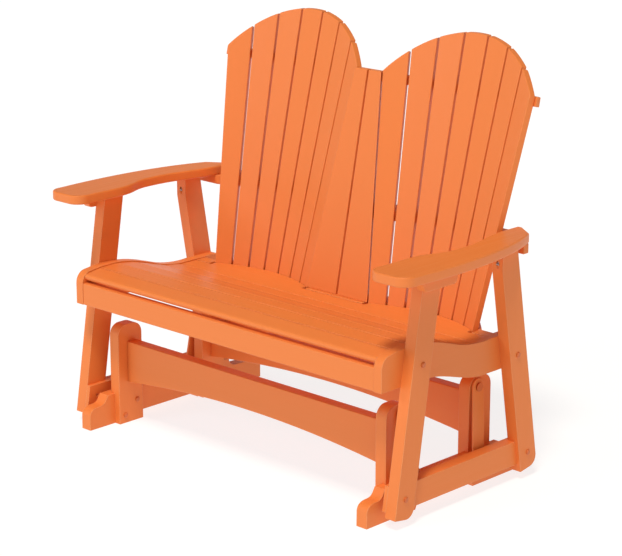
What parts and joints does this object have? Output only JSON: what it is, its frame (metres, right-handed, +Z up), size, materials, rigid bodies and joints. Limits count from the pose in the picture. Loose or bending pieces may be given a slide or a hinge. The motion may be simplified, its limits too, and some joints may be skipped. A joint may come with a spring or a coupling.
{
  "type": "glider swing",
  "caption": "Double Adirondack porch glider: contoured slat seat with two fan backs and wide arms, hung on swing links from a runner base",
  "frame": {"origin": "middle of the overall width and depth, on the floor", "axes": "+X along the seat to the sitter's left, +Y to the back, +Z up"},
  "size_m": [1.4132, 0.7538, 1.2055],
  "materials": {
    "lumber": "satin through-coloured recycled plastic lumber with a faint brushed grain",
    "bushing": "moulded nylon bushing",
    "steel": "stainless fasteners"
  },
  "bodies": {
    "base": {"runner_left": "lumber", "runner_right": "lumber", "upright_front_left": "lumber", "upright_front_right": "lumber", "upright_rear_left": "lumber", "upright_rear_right": "lumber", "stretcher_front": "lumber", "stretcher_rear": "lumber", "base_bolts": "lumber", "upper_pivot_pins": "steel"},
    "link_front_left": {"link_front_left": "lumber", "link_bushings_front_left": "bushing"},
    "link_front_right": {"link_front_right": "lumber", "link_bushings_front_right": "bushing"},
    "link_rear_left": {"link_rear_left": "lumber", "link_bushings_rear_left": "bushing"},
    "link_rear_right": {"link_rear_right": "lumber", "link_bushings_rear_right": "bushing"},
    "seat_frame": {"leg_front_left": "lumber", "leg_front_right": "lumber", "leg_rear_left": "lumber", "leg_rear_right": "lumber", "lower_rail_left": "lumber", "lower_rail_right": "lumber", "lower_pivot_pins": "steel", "seat_end_left": "lumber", "seat_end_right": "lumber", "seat_cleats": "lumber", "seat_support": "lumber", "apron": "lumber", "seat_board_rear": "lumber", "back_slat_centre_left": "lumber", "back_slat_centre_right": "lumber", "back_rail_seat": "lumber", "back_rail_arm": "lumber", "back_rail_top": "lumber", "arm_left": "lumber", "arm_right": "lumber", "arm_brackets": "lumber", "frame_bolts": "lumber", "seat_slat_1": "lumber", "seat_slat_2": "lumber", "seat_slat_3": "lumber", "seat_slat_4": "lumber", "seat_slat_5": "lumber", "seat_slat_6": "lumber", "back_slat_left_1": "lumber", "back_slat_left_2": "lumber", "back_slat_left_3": "lumber", "back_slat_left_4": "lumber", "back_slat_left_5": "lumber", "back_slat_left_6": "lumber", "back_slat_left_7": "lumber", "back_slat_right_1": "lumber", "back_slat_right_2": "lumber", "back_slat_right_3": "lumber", "back_slat_right_4": "lumber", "back_slat_right_5": "lumber", "back_slat_right_6": "lumber", "back_slat_right_7": "lumber"}
  },
  "joints": [
    {"name": "glide", "type": "hinge", "parent": "base", "child": "link_rear_right", "pos_m": [0, 0.094, 0.28], "axis": [1, 0, 0], "range_deg": [-10, 10]},
    {"name": "swing_rear_left", "type": "hinge", "parent": "base", "child": "link_rear_left", "pos_m": [0, 0.094, 0.28], "axis": [1, 0, 0], "range_deg": [-10.5, 10.5]},
    {"name": "swing_front_left", "type": "hinge", "parent": "base", "child": "link_front_left", "pos_m": [0, -0.2145, 0.28], "axis": [1, 0, 0], "range_deg": [-10.5, 10.5]},
    {"name": "swing_front_right", "type": "hinge", "parent": "base", "child": "link_front_right", "pos_m": [0, -0.2145, 0.28], "axis": [1, 0, 0], "range_deg": [-10.5, 10.5]},
    {"name": "seat_hang", "type": "hinge", "parent": "link_rear_right", "child": "seat_frame", "pos_m": [0, 0.0735, 0.08], "axis": [1, 0, 0], "range_deg": [-12, 12]}
  ],
  "couplings": [
    {"joint": "swing_rear_left", "follows": "glide", "ratio": 1},
    {"joint": "swing_front_left", "follows": "glide", "ratio": 1},
    {"joint": "swing_front_right", "follows": "glide", "ratio": 1},
    {"joint": "seat_hang", "follows": "glide", "ratio": -1.1525}
  ]
}
